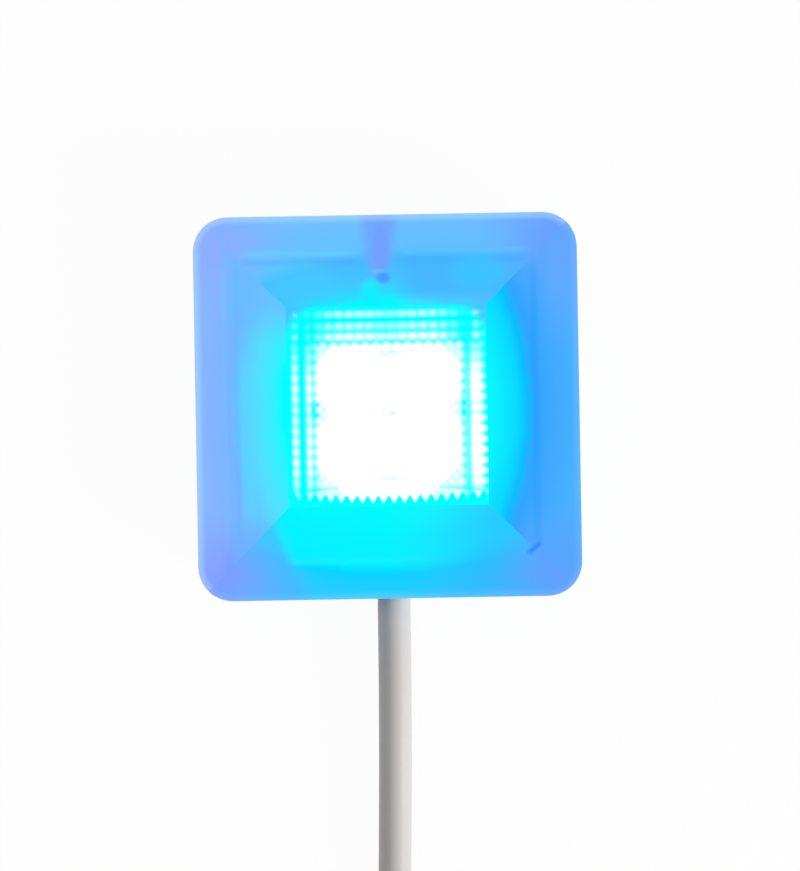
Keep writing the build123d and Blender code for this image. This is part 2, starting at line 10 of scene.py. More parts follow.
import bpy
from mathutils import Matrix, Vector


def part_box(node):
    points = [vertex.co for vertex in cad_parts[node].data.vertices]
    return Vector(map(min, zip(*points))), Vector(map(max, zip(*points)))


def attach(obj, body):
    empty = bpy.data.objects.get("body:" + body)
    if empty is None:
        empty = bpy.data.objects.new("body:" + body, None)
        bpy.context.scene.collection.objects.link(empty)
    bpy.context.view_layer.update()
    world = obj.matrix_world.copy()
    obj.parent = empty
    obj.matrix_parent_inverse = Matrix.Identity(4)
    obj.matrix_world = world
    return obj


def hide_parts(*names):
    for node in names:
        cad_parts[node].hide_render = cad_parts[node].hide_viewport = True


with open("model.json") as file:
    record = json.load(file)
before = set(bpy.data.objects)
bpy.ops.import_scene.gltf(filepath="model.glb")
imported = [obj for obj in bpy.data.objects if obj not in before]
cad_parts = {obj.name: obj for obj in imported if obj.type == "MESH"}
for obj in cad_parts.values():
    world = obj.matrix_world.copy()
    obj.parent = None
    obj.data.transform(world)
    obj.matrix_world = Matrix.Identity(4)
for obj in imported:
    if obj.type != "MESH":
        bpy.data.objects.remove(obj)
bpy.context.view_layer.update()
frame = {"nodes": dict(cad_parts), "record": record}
MM = 0.001
BODY = "root"

# %% [markdown]
# ## The camera first
# The light is seen from straight above through a long lens, so its sides hardly show. The lens looks
# at a point a little below the middle of the cover, and the whole picture is rolled by one degree.

# %% Camera
RIM_Z = 12.0 * MM                       # the widest outline of the cover
LENS = 150.0
SENSOR = 36.0
VIEW_WIDTH = 124.67 * MM                # how much of the rim's plane is in the picture
VIEW_CENTRE = (1.87 * MM, -4.55 * MM)
ROLL = radians(-1.0)

camera_data = bpy.data.cameras.new("camera")
camera_data.lens = LENS
camera_data.sensor_width = SENSOR
camera_data.sensor_fit = "HORIZONTAL"
camera_data.clip_start = 0.01
camera = bpy.data.objects.new("camera", camera_data)
bpy.context.scene.collection.objects.link(camera)
camera.location = (*VIEW_CENTRE, RIM_Z + VIEW_WIDTH * LENS / SENSOR)
camera.rotation_euler = (0, 0, ROLL)
bpy.context.scene.camera = camera
print("camera height", round(camera.location.z, 4))

# %% [markdown]
# ## The lead
# A cord is a fixed length of something that bends. Here it is one NURBS spline: its control points
# are the route that the frame's solids follow, then the turns of the coil, worked out by a loop.
# A bevel makes it round.

# %% Points of the lead
CABLE_R = 2.6 * MM
CORE_R = 0.65 * MM
CABLE_ROUTE = [
    (0.5, -17.0, 4.8),
    (0.5, -41.0, 4.8),
    (0.1, -65.5, 2.65),
    (-0.6, -90.5, 2.65),
    (-0.6, -114.0, 2.65),
]
COIL_TURNS = 2.25
COIL_START_R = 33.0
COIL_PITCH = 5.3
COIL_Z = 3.1
STEPS_PER_TURN = 16


def coil_point(turns):
    """A point of the coil, in millimetres, after so many turns from where the lead enters it."""
    radius = COIL_START_R - COIL_PITCH * turns
    angle = pi + tau * turns
    centre_x = CABLE_ROUTE[-1][0] + COIL_START_R
    return (centre_x + radius * cos(angle), CABLE_ROUTE[-1][1] + radius * sin(angle), COIL_Z)


coil_points = [coil_point(step / STEPS_PER_TURN) for step in range(1, int(COIL_TURNS * STEPS_PER_TURN) + 1)]
print("coil points", len(coil_points))


# %% A round cord from points
def smooth_cord(name, points, radius):
    """A round cord along one NURBS spline whose control points are given in millimetres."""
    curve = bpy.data.curves.new(name, "CURVE")
    curve.dimensions = "3D"
    curve.resolution_u = 8
    spline = curve.splines.new("NURBS")
    spline.points.add(len(points) - 1)
    for control, place in zip(spline.points, points):
        control.co = (*(value * MM for value in place), 1.0)
    spline.order_u = 3
    spline.use_endpoint_u = True
    curve.bevel_depth = radius
    curve.bevel_resolution = 6
    curve.use_fill_caps = True
    piece = bpy.data.objects.new(name, curve)
    bpy.context.scene.collection.objects.link(piece)
    return piece


def spline_length(piece):
    """Length of a cord's own line, without its bevel."""
    copy = piece.copy()
    copy.data = piece.data.copy()
    copy.data.bevel_depth = 0
    line = bpy.data.meshes.new_from_object(copy)
    total = sum((line.vertices[a].co - line.vertices[b].co).length for a, b in (e.vertices for e in line.edges))
    bpy.data.meshes.remove(line)
    bpy.data.objects.remove(copy)
    return total


lead = smooth_cord("lead", CABLE_ROUTE + coil_points, CABLE_R)
lead_length = spline_length(lead)
print("lead", round(lead_length, 4))

# %% [markdown]
# The jacket is cut back inside the coil, and four thin cores come out of it. Each ends in a crimped
# ferrule. The cores are drawn like the lead, but they are so short that they count as pieces on it.

# %% Cores
CORE_ROUTES = {
    "white": [(0.0, -0.7, 2.4), (6.2, -0.7, 2.4), (12.2, 2.6, 1.4), (15.8, 8.4, 1.35), (17.0, 15.2, 1.3)],
    "brown": [(0.0, -0.7, 3.8), (5.6, -0.7, 3.8), (10.0, 4.2, 2.0), (11.7, 10.4, 1.4), (11.9, 17.0, 1.3)],
    "green": [(0.0, 0.7, 3.8), (5.2, 0.7, 3.8), (7.8, 6.6, 2.1), (7.6, 13.0, 1.4), (6.2, 19.2, 1.3)],
    "yellow": [(0.0, 0.7, 2.4), (3.6, 0.7, 2.4), (5.0, 5.6, 1.5), (3.4, 10.6, 1.4), (0.4, 15.0, 1.3)],
}
cut_x, cut_y, _ = coil_points[-1]
cores = {}
core_lengths = {}
for colour, route in CORE_ROUTES.items():
    placed = [(cut_x + along, cut_y + across, height) for along, across, height in route]
    cores[colour] = smooth_cord(f"core_{colour}_wire", placed, CORE_R)
    core_lengths[colour] = spline_length(cores[colour])
print("cores", {colour: round(length, 4) for colour, length in core_lengths.items()})

# %% [markdown]
# ## A small language for materials
# Shader nodes are arithmetic drawn as boxes. One class wraps a socket and gives it the usual
# operators, so a pattern reads like a formula. A second class owns a material: one method makes any
# node, and another joins the result to the shader.


# %% Field: one socket with arithmetic
class Field:
    """One output socket of a shader node. Numbers and other fields combine with it as in a formula."""

    def __init__(self, finish, socket):
        self.finish = finish
        self.socket = socket

    def _math(self, operation, *others):
        values = dict(enumerate((self, *others)))
        return self.finish.node("ShaderNodeMath", {"operation": operation}, values)

    def _flipped(self, operation, other):
        return self.finish.node("ShaderNodeMath", {"operation": operation}, {0: other, 1: self})

    def __add__(self, other):
        return self._math("ADD", other)

    def __sub__(self, other):
        return self._math("SUBTRACT", other)

    def __mul__(self, other):
        return self._math("MULTIPLY", other)

    def __truediv__(self, other):
        return self._math("DIVIDE", other)

    def __radd__(self, other):
        return self._flipped("ADD", other)

    def __rsub__(self, other):
        return self._flipped("SUBTRACT", other)

    def __rmul__(self, other):
        return self._flipped("MULTIPLY", other)

    def __abs__(self):
        return self._math("ABSOLUTE")

    def power(self, other):
        return self._math("POWER", other)

    def highest(self, other):
        return self._math("MAXIMUM", other)

    def lowest(self, other):
        return self._math("MINIMUM", other)

    def wave(self):
        return self._math("COSINE")

    def clipped(self):
        return self.highest(0.0).lowest(1.0)

    def rises(self, start, end):
        """0 below start, 1 above end, smooth between. With start above end it falls instead."""
        return self.finish.node(
            "ShaderNodeMapRange",
            {"interpolation_type": "SMOOTHSTEP", "clamp": True},
            {"Value": self, "From Min": start, "From Max": end, "To Min": 0.0, "To Max": 1.0},
        )

    def between(self, low, high, soft):
        """1 from low to high, fading over `soft` at each end."""
        return self.rises(low - soft, low + soft) * self.rises(high + soft, high - soft)


# %% Finish: one material
class Finish:
    """A node material for one finish, made of formulas."""

    def __init__(self, name):
        self.material = bpy.data.materials.new(name)
        self.material.use_nodes = True
        self.tree = self.material.node_tree
        self.shader = self.tree.nodes["Principled BSDF"]

    def node(self, kind, settings=(), values=(), output=None):
        """Makes any node: its settings first, then the values or links of its sockets."""
        made = self.tree.nodes.new(kind)
        for key, value in dict(settings).items():
            if key == "stops":
                self._set_stops(made.color_ramp, value)
            else:
                setattr(made, key, value)
        for key, value in dict(values).items():
            self._join(value, made.inputs[key])
        if output is None:
            output = next(i for i, socket in enumerate(made.outputs) if socket.enabled)
        return Field(self, made.outputs[output])

    def _join(self, value, socket):
        if isinstance(value, Field):
            self.tree.links.new(value.socket, socket)
        else:
            socket.default_value = value

    @staticmethod
    def _set_stops(ramp, stops):
        while len(ramp.elements) < len(stops):
            ramp.elements.new(1.0)
        for element, (place, colour) in zip(ramp.elements, stops):
            element.position = place
            element.color = (*colour, 1.0)

    def set(self, **values):
        """Sets or links the shader's sockets, such as base_color or roughness."""
        for key, value in values.items():
            if isinstance(value, tuple) and len(value) == 3:
                value = (*value, 1.0)
            self._join(value, self.shader.inputs[SHADER_SOCKETS.get(key, key.replace("_", " ").title())])
        return self

    def place(self):
        """The three object coordinates, in millimetres."""
        coordinates = self.node("ShaderNodeTexCoord", output="Object")
        apart = self.node("ShaderNodeSeparateXYZ", values={0: coordinates})
        sockets = apart.socket.node.outputs
        return [Field(self, sockets[axis]) * 1000.0 for axis in range(3)]

    def noise(self, scale, detail=3.0, roughness=0.55, stretch=(1.0, 1.0, 1.0)):
        """Noise from 0 to 1. Scale is in cells per metre."""
        coordinates = self.node("ShaderNodeTexCoord", output="Object")
        mapped = self.node("ShaderNodeMapping", values={"Vector": coordinates, "Scale": stretch})
        values = {"Vector": mapped, "Scale": scale, "Detail": detail, "Roughness": roughness}
        return self.node("ShaderNodeTexNoise", values=values, output="Fac")

    def blend(self, factor, first, second):
        """Mixes two colours."""
        settings = {"data_type": "RGBA", "clamp_factor": True}
        return self.node("ShaderNodeMix", settings, {0: factor, 6: _rgba(first), 7: _rgba(second)}, output=2)

    def ramp(self, factor, stops):
        return self.node("ShaderNodeValToRGB", {"stops": stops}, {"Fac": factor}, output="Color")

    def scaled(self, colour, factor):
        return self.node("ShaderNodeVectorMath", {"operation": "SCALE"}, {0: colour, 3: factor}, output=0)

    def bump(self, height, distance, strength=1.0):
        values = {"Height": height, "Distance": distance, "Strength": strength}
        return self.node("ShaderNodeBump", values=values, output="Normal")


SHADER_SOCKETS = {"specular": "Specular IOR Level"}


def _rgba(colour):
    return (*colour, 1.0) if isinstance(colour, tuple) and len(colour) == 3 else colour


def tone(red, green, blue):
    """A screen colour, 0 to 255, as the linear numbers that shaders use."""
    def linear(level):
        share = level / 255
        return share / 12.92 if share <= 0.04045 else ((share + 0.055) / 1.055) ** 2.4
    return (linear(red), linear(green), linear(blue))


# %% [markdown]
# ## Floor and light
# The light stands on a white sheet. The sheet is lit like everything else, so the cover leaves a soft
# shadow on it, and a share of plain white that only the camera, reflections and refractions see keeps
# the background clean. The lamps are soft and even, with the brighter one on the right, which is
# what rounds off the lead.

# %% Floor
FLOOR_SIZE = 6.0
FLOOR_DROP = 0.1 * MM                   # keeps the sheet clear of the faces that stand on it
FLOOR_WHITE = 0.95                      # share of the sheet that is plain white to the camera

sheet_mesh = bpy.data.meshes.new("floor_sheet")
half = FLOOR_SIZE / 2
sheet_mesh.from_pydata([(-half, -half, 0), (half, -half, 0), (half, half, 0), (-half, half, 0)], [], [(0, 1, 2, 3)])
sheet = bpy.data.objects.new("floor_sheet", sheet_mesh)
sheet.location.z = -FLOOR_DROP
bpy.context.scene.collection.objects.link(sheet)

paper = Finish("white_sheet")
paper.set(base_color=(0.93, 0.93, 0.93), roughness=0.8, specular=0.1)
rays = paper.node("ShaderNodeLightPath", output="Is Camera Ray").socket.node.outputs
seen = Field(paper, rays["Is Camera Ray"]).highest(Field(paper, rays["Is Glossy Ray"]))
seen = seen.highest(Field(paper, rays["Is Transmission Ray"]))
plain = paper.node("ShaderNodeEmission", values={"Color": (1.0, 1.0, 1.0, 1.0), "Strength": 1.0})
lit = Field(paper, paper.shader.outputs[0])
joined = paper.node("ShaderNodeMixShader", values={0: seen * FLOOR_WHITE, 1: lit, 2: plain})
paper.tree.links.new(joined.socket, paper.tree.nodes["Material Output"].inputs["Surface"])
sheet_mesh.materials.append(paper.material)


# %% Lamps and sky
def soft_lamp(name, place, size, power):
    """A square area lamp that points at the light."""
    lamp_data = bpy.data.lights.new(name, "AREA")
    lamp_data.shape = "SQUARE"
    lamp_data.size = size
    lamp_data.energy = power
    lamp = bpy.data.objects.new(name, lamp_data)
    lamp.location = place
    lamp.rotation_euler = (-Vector(place)).to_track_quat("-Z", "Y").to_euler()
    bpy.context.scene.collection.objects.link(lamp)


soft_lamp("key_lamp", (0.9, -0.62, 0.42), 0.4, 15.0)
soft_lamp("fill_lamp", (-0.5, 0.4, 1.1), 0.7, 2.0)

world = bpy.data.worlds.new("sky")
bpy.context.scene.world = world
world.use_nodes = True
sky = world.node_tree
background = sky.nodes["Background"]
background.inputs["Color"].default_value = (1.0, 1.0, 1.0, 1.0)
background.inputs["Strength"].default_value = 0.40
white_sky = sky.nodes.new("ShaderNodeBackground")
white_sky.inputs["Color"].default_value = (1.0, 1.0, 1.0, 1.0)
sky_rays = sky.nodes.new("ShaderNodeLightPath")
sky_mix = sky.nodes.new("ShaderNodeMixShader")
sky.links.new(sky_rays.outputs["Is Camera Ray"], sky_mix.inputs[0])
sky.links.new(background.outputs[0], sky_mix.inputs[1])
sky.links.new(white_sky.outputs[0], sky_mix.inputs[2])
sky.links.new(sky_mix.outputs[0], sky.nodes["World Output"].inputs["Surface"])
bpy.context.scene.view_settings.view_transform = "Standard"

# %% [markdown]
# ## The glow of the cover
# The cover is one satin moulding with four sloping sides and a square of small prisms on top. Four
# LEDs behind the prisms fill it with blue light. Tracing light through a scattering shell is slow
# and noisy, so the glow is painted as a formula of the place on the cover: each side has its own
# run of tones from the prisms outwards, with painted shadows and light lines of the hidden ring wall, the screw post
# and the key rib as the soft shapes that they throw. The left and top sides also carry painted lamp light, paler than
# the right and bottom. The sides meet in crisp mitres because their tones differ.

# %% Sizes behind the cover
LENS_HALF = 15.5                        # half of the prism square
PRISM_PITCH = 1.62
RING_IN = 23.3                          # ring wall inside the cover, half sizes
RING_OUT = 24.9
CORNER_START = 24.5                     # where the cover's round corners begin
CORNER_R = 5.5
POST = (-0.6, 20.3)
KEY = (22.4, -22.3)
LENS_Z = 19.1

CYAN = tone(0, 252, 254)
AQUA = tone(0, 236, 253)
PERIWINKLE = tone(116, 150, 255)
LAVENDER = tone(146, 174, 254)
KEY_RIB_SHADOW = tone(36, 118, 240)
WHITE = (1.0, 1.0, 1.0)

# Painted light: tones of each side from the prisms (0) to the outer edge (1). The left and top sides hold painted lamp
# light, paler than the right and bottom.
SIDE_TONES = {
    "left": [(0.03, CYAN), (0.16, tone(54, 236, 254)), (0.36, tone(84, 220, 255)), (0.50, tone(96, 200, 255)),
             (0.63, tone(116, 180, 254)), (1.0, tone(130, 184, 254))],
    "right": [(0.0, tone(0, 246, 254)), (0.18, tone(0, 226, 254)), (0.32, tone(0, 210, 254)), (0.43, tone(4, 182, 254)),
              (0.54, tone(46, 160, 254)), (0.68, tone(60, 164, 254)), (1.0, tone(74, 176, 253))],
    "top": [(0.02, tone(0, 246, 254)), (0.13, tone(40, 218, 253)), (0.27, tone(66, 196, 254)),
            (0.50, tone(72, 184, 255)), (0.64, tone(98, 192, 255)), (1.0, tone(112, 190, 255))],
    "bottom": [(0.03, tone(0, 254, 254)), (0.20, tone(0, 250, 254)), (0.36, tone(0, 240, 253)),
               (0.52, tone(0, 240, 253)), (0.64, tone(1, 230, 253)), (0.74, tone(4, 208, 254)), (1.0, tone(50, 194, 254))],
}


# %% Shapes of light
def spot(u, v, place, reach, soft=0.5):
    """1 in an ellipse about a place, 0 outside it."""
    across = (u - place[0]) / reach[0]
    along = (v - place[1]) / reach[1]
    return (across * across + along * along).rises(1.0 + soft, 1.0 - soft)


def side_masks(u, v):
    """Which sloping side a point is on. The mitres are a tenth of a millimetre wide."""
    falling = (u - v).rises(-0.1, 0.1)
    rising = (u + v).rises(-0.1, 0.1)
    return {
        "right": falling * rising,
        "top": (1.0 - falling) * rising,
        "left": (1.0 - falling) * (1.0 - rising),
        "bottom": falling * (1.0 - rising),
    }


def slope_colour(finish, u, v):
    """Painted colour of the light on the sloping sides."""
    reach_u = abs(u)
    reach_v = abs(v)
    square = reach_u.highest(reach_v)
    nearer = reach_u.lowest(reach_v)
    radial = (u * u + v * v).power(0.5)
    cloud = finish.noise(150.0, detail=2.0) - 0.5
    travelled = square + (radial - square) * 0.5 + cloud * 1.2
    share = (travelled - LENS_HALF) / (30.0 - LENS_HALF)
    masks = side_masks(u, v)
    colour = finish.ramp(share, SIDE_TONES["right"])
    for side in ("top", "left", "bottom"):
        colour = finish.blend(masks[side], colour, finish.ramp(share, SIDE_TONES[side]))

    def wash(place, strength, new):
        """Lays a tone over the colour so far."""
        nonlocal colour
        colour = finish.blend(place * strength, colour, new)

    # painted light: the flat bottom of the tray shines brightly through the lower side, as far as the ring wall
    slanted = u + (v + 20.0) * 0.35 + cloud * 0.8
    patch = masks["bottom"] * square.rises(24.9, 24.1) * slanted.rises(-17.8, -15.6)
    wash(masks["bottom"] * slanted.rises(-14.6, -18.4), 0.7, tone(62, 180, 255))
    wash(patch * u.rises(12.0, -4.0), 0.6, AQUA)
    wash(patch * square.between(23.3, 24.2, 0.4) * u.rises(18.0, 2.0), 0.35, tone(30, 240, 255))
    # painted light: the right halves of the lower and upper sides are a darker blue, and the lower edge is brighter
    # cyan near its middle
    wash(masks["bottom"] * u.rises(-2.0, 19.0), 0.7, tone(44, 178, 254))
    wash(masks["top"] * u.rises(0.5, 6.0) * square.between(17.0, 24.0, 1.2), 0.85, tone(50, 179, 254))
    wash(masks["top"] * u.rises(0.5, 6.0), 0.35, tone(94, 182, 254))
    wash(masks["bottom"] * square.rises(24.4, 26.5) * abs(u + 3.0).rises(13.0, 3.0), 0.4, tone(0, 206, 255))

    # painted shade: corners turn violet where little direct light arrives, paler on the left as if lit from that side
    corner = radial.rises(26.0, 36.0) * (nearer / square).rises(0.4, 1.0)
    upper = v.rises(-4.0, 4.0)
    right_hand = u.rises(-4.0, 4.0)
    left_corner_shade = finish.blend(upper, tone(124, 154, 255), tone(138, 172, 255))
    right_corner_shade = finish.blend(upper, tone(98, 154, 255), tone(104, 158, 255))
    wash(corner, 0.92, finish.blend(right_hand, left_corner_shade, right_corner_shade))
    # painted lamp light: the outer part of the left side is paler, and its upper part inside the edge takes an even
    # blue
    wash(masks["left"] * square.rises(RING_OUT, 26.5), 0.25, LAVENDER)
    wash(masks["left"] * v.rises(9.0, 17.0) * square.rises(26.0, 23.0), 0.8, tone(104, 188, 254))

    # painted light and shade of the ring wall: a bright line along the upper side, a darker one on the right, faint on
    # the left
    run = nearer.rises(23.0, 20.6)
    beside_post = abs(u - POST[0]).rises(2.2, 4.6)
    wash(masks["top"] * square.between(23.5, 24.3, 0.5) * run * beside_post, 0.30 + u.rises(2.0, -8.0) * 0.16,
         tone(96, 214, 255))
    wash(masks["top"] * square.between(22.2, 23.0, 0.5) * run * beside_post, 0.32, tone(54, 166, 255))
    wash(masks["right"] * square.between(22.4, 23.5, 0.6) * run, 0.4, tone(30, 148, 255))
    wash(masks["right"] * square.rises(RING_IN, 24.2), 0.35, tone(60, 164, 255))
    wash(masks["left"] * square.between(24.9, 25.5, 0.5) * run, 0.3, tone(136, 190, 255))
    wash(masks["left"] * square.between(22.9, 23.5, 0.4) * run, 0.3, tone(96, 176, 255))

    # painted light: two brighter fields on the upper side, and the blue lower end of the left one; a brighter band
    # inside the ring on the left, and a paler upper end of the right side
    wash(masks["top"] * spot(u, v, (14.2, 20.4), (4.0, 2.8), 0.9), 0.5, tone(50, 206, 255))
    wash(masks["top"] * spot(u, v, (-13.5, 19.5), (5.5, 2.8), 0.9), 0.4, tone(66, 210, 255))
    wash(masks["left"] * v.rises(-16.6, -19.4) * square.rises(25.2, 23.4), 0.35, tone(92, 186, 255))
    wash(masks["left"] * square.rises(23.3, 22.1) * square.rises(19.0, 21.5) * v.between(-17.6, 7.0, 2.6), 0.55,
         tone(88, 214, 255))
    wash(masks["right"] * v.rises(6.0, 22.0) * square.rises(23.0, 26.0), 0.5, tone(104, 163, 254))

    # painted shade: the screw post and the fan of shade behind it, with a bright spot beside the post, a dark spot on
    # it and a painted highlight on its top
    above = v - POST[1]
    fan = abs(u - POST[0] + 0.3) - 1.3 - above * 0.15
    shade = fan.rises(1.3, -1.1) * above.rises(-1.2, 1.8)
    wash(shade, 0.9, tone(110, 164, 255))
    wash(shade * spot(u, v, (POST[0], 24.6), (1.1, 4.0), 0.9), 0.5, PERIWINKLE)
    wash(spot(u, v, (-2.3, 17.5), (1.5, 2.0), 0.95), 0.8, tone(4, 238, 255))
    wash(spot(u, v, (POST[0] + 0.3, 19.9), (1.0, 0.9), 0.98), 0.6, tone(66, 122, 252))
    wash(spot(u, v, (POST[0] - 0.5, 20.9), (1.1, 0.4), 0.95), 0.55, tone(120, 186, 255))

    # the painted shadow of the key rib, a short dark stroke across one corner of the ring
    along = (u - KEY[0]) * 0.76 + (v - KEY[1]) * 0.65
    across = (v - KEY[1]) * 0.76 - (u - KEY[0]) * 0.65
    wash(abs(along).rises(1.7, 0.8) * abs(across).rises(0.65, 0.1), 0.65, KEY_RIB_SHADOW)

    # a painted highlight along the rounded edge, where it catches the light, most of all along the top and the left
    corner_u = (reach_u - CORNER_START).highest(0.0)
    corner_v = (reach_v - CORNER_START).highest(0.0)
    from_corner = (corner_u * corner_u + corner_v * corner_v).power(0.5)
    edge_highlight = from_corner.rises(CORNER_R - 1.5, CORNER_R - 0.4)
    wash(edge_highlight, 0.08 + masks["left"] * 0.24 + masks["top"] * 0.26, tone(190, 232, 250))
    return colour


def prism_colour(finish, u, v):
    """Painted glow of the prisms: white over the four LEDs, then rows of bright dots and teeth on cyan."""
    wave_u = ((u - 0.8) * (tau / PRISM_PITCH)).wave()
    wave_v = ((v + 0.4) * (tau / PRISM_PITCH)).wave()
    out_u = abs(u)
    # the LEDs sit 5 mm off both middle lines, so each run is dimmer at its middle and at its ends
    lobe_u = 0.74 + abs(u - 0.3).rises(0.0, 3.5) * 0.26
    lobe_u = lobe_u * (0.2 + out_u.rises(12.0, 6.5) * 0.8 + out_u.rises(12.8, 13.8) * 0.3)
    lobe_v = (0.76 + abs(v + 0.6).rises(0.0, 3.5) * 0.24) * (0.34 + v.rises(9.0, 3.6) * 0.66)
    lobe_v = lobe_v * (0.65 + v.rises(-12.5, -9.0) * 0.35)
    lobe_v = lobe_v.highest(v.rises(9.4, 10.2))
    ripple_u = wave_u * (0.16 + out_u * 0.018)
    ripple_v = wave_v * 0.3

    rows = (v + wave_u * 0.14).rises(10.1, 9.0)
    for centre, level in ((14.2, 0.96), (12.4, 0.92), (10.7, 1.4)):
        rows = rows + v.between(centre - 0.2, centre + 0.2, 0.7) * (0.86 + ripple_u) * lobe_u * level
    rows = rows + v.between(9.6, 12.0, 0.4) * lobe_u * 0.12
    sag = u * u * 0.0043
    line = (v + 12.2 + sag).between(-0.15, 0.15, 0.3) * (0.36 + out_u.rises(7.0, 12.0) * 0.52)
    tooth = (wave_u * 0.5 + 0.5) * 1.0
    rows = rows * (1.0 - line) * (v + tooth - sag * 0.7).rises(-14.1, -13.3)

    ragged = wave_v * 0.16
    columns = (u + ragged).rises(-11.6, -10.2) * (u - ragged).rises(12.2, 10.8)
    for centre, half, level in ((-14.1, 0.3, 0.95), (-12.0, 0.12, 1.2)):
        columns = columns + u.between(centre - half, centre + half, 0.6) * (0.86 + ripple_v) * lobe_v * level
    teeth = (wave_v * 0.5 + 0.5) * (0.35 + v.rises(6.0, -6.0) * 0.65)
    outer = u.rises(12.5, 13.4) * (u - teeth * 0.7).rises(15.3, 13.7)
    columns = columns + outer * (0.97 + ripple_v * 0.5) * lobe_v
    columns = columns + (u.between(-12.6, -11.0, 0.5) * 0.22 + u.between(11.8, 12.9, 0.3) * 0.2) * lobe_v

    # the painted glow is patchy, dimmer at the corners of the dotted core and in five soft spots
    patches = finish.noise(260.0, detail=1.5) - 0.5
    core_corner = (out_u + abs(v + 1.4) + wave_u * wave_v * 0.8).rises(17.6, 20.0)
    core_corner = core_corner * out_u.rises(11.8, 10.8) * v.rises(10.0, 9.2)
    level = rows * columns * (1.0 + patches * 0.4) * (1.0 - core_corner * 0.42)
    for place, reach in (((0.5, -1.1), (1.7, 0.45)), ((0.5, 8.2), (2.4, 0.5)), ((-10.2, -0.6), (1.4, 2.0)),
                         ((10.9, -0.4), (1.0, 2.2)), ((0.5, -11.2), (2.6, 0.3))):
        level = level - spot(u, v, place, reach, 0.9) * (0.32 - wave_u * wave_v * 0.16)
    rounded = (u * u * u * u + v * v * v * v).power(0.25)
    # outside the dots the painted glow is cyan, darker near the upper outer edge of the prisms
    ground = finish.blend(rounded.rises(15.8, 17.4) * v.rises(4.0, 9.0), CYAN, tone(62, 200, 255))
    return finish.blend((level * 1.28).clipped().power(1.35), ground, WHITE)


# %% The cover's material
BASE_SHARE_OF_GLOW = 0.06                     # share of the painted glow, its painted light and shade included, that goes into the base colour
GLOW_SHARE = 0.975


def lit_cover():
    finish = Finish("lit_cover")
    u, v, height = finish.place()
    on_lens = height.rises(LENS_Z, LENS_Z + 0.08) * (abs(u).highest(abs(v))).rises(LENS_HALF + 0.1, LENS_HALF)
    colour = finish.blend(on_lens, slope_colour(finish, u, v), prism_colour(finish, u, v))
    satin = finish.noise(3500.0, detail=2.0)
    rough = 0.40 + satin * 0.08 - on_lens * 0.26
    # the painted glow, its painted light and shade included, is the emission and a faint base colour
    finish.set(base_color=finish.scaled(colour, BASE_SHARE_OF_GLOW), emission_color=finish.scaled(colour, GLOW_SHARE))
    finish.set(roughness=rough, normal=finish.bump(satin, 0.000015, 0.4))
    finish.set(emission_strength=1.0, specular=0.03)
    return finish

# %% [markdown]
# ## Plastics, rubber and metal
# Everyday finishes differ in three things: the colour, how rough it is, and the grain that bends the
# reflections. One function makes the moulded ones and one the metal ones, each from a few numbers.


# %% Moulded and metal finishes
def moulded(name, colour, rough=0.5, grain=2200.0, depth=0.02, uneven=0.04, specular=0.4):
    """A moulded finish: spark-eroded grain (depth in millimetres) and a slightly uneven colour."""
    finish = Finish(name)
    cloud = finish.noise(90.0, detail=4.0)
    grains = finish.noise(grain, detail=3.0)
    shade = 1.0 - uneven + cloud * uneven + grains * uneven * 0.5
    tinted = finish.blend(shade.clipped(), (0.0, 0.0, 0.0), colour)
    finish.set(base_color=tinted, roughness=rough - 0.06 + grains * 0.12, specular=specular)
    finish.set(normal=finish.bump(grains, depth * MM, 0.6))
    return finish


def metal(name, colour, rough=0.3, stretch=(1.0, 1.0, 1.0), scale=1500.0, depth=0.01):
    """A metal finish with fine tool marks, drawn out along one axis by `stretch`."""
    finish = Finish(name)
    marks = finish.noise(scale, detail=4.0, stretch=stretch)
    cloud = finish.noise(260.0, detail=2.0)
    dull = tuple(part * 0.72 for part in colour)
    finish.set(base_color=finish.blend(cloud.rises(0.35, 0.75), colour, dull), metallic=1.0)
    finish.set(roughness=rough + marks * 0.16, normal=finish.bump(marks, depth * MM, 0.5))
    return finish


def jacket():
    """Grey cable jacket: matt skin with fine lengthwise die lines and faint scuffs."""
    finish = Finish("cable_jacket")
    skin = finish.noise(2600.0, detail=3.0, stretch=(1.0, 0.25, 1.0))
    scuffs = finish.noise(320.0, detail=5.0, roughness=0.7).rises(0.60, 0.72)
    warm = finish.blend(skin * 0.25, tone(190, 186, 184), tone(168, 163, 162))
    finish.set(base_color=finish.blend(scuffs * 0.18, warm, tone(205, 202, 200)), specular=0.35)
    finish.set(roughness=0.42 + skin * 0.14 + scuffs * 0.1, normal=finish.bump(skin, 0.012 * MM, 0.5))
    return finish


def tray_plastic():
    """The base: pale grey grain, with the round marks of the ejector pins on its back."""
    finish = moulded("base_plastic", tone(190, 193, 197), rough=0.52, grain=1900.0)
    u, v, height = finish.place()
    rings = 0.0 * u
    for place in ((-12.0, 12.0), (9.0, 12.0), (-12.0, -12.0), (0.0, -22.0)):
        reach = ((u - place[0]).power(2.0) + (v - place[1]).power(2.0)).power(0.5)
        rings = rings + reach.between(1.75, 2.0, 0.1)
    grains = finish.noise(1900.0, detail=3.0)
    relief = grains * 0.4 - rings * height.rises(0.3, 0.1)
    finish.set(normal=finish.bump(relief, 0.015 * MM, 0.5))
    return finish


def circuit_board():
    """White solder mask with copper tracks showing faintly through it."""
    finish = Finish("circuit_board")
    u, v, _ = finish.place()
    lanes = (u * (tau / 5.0)).wave().rises(0.86, 0.94).highest((v * (tau / 7.0)).wave().rises(0.9, 0.96))
    grains = finish.noise(1500.0, detail=2.0)
    mask = finish.blend(lanes * 0.35, tone(232, 236, 232), tone(196, 208, 196))
    finish.set(base_color=finish.blend(grains * 0.08, mask, tone(180, 184, 180)), specular=0.5)
    finish.set(roughness=0.28 + grains * 0.1, normal=finish.bump(lanes + grains * 0.1, 0.02 * MM, 0.5))
    return finish


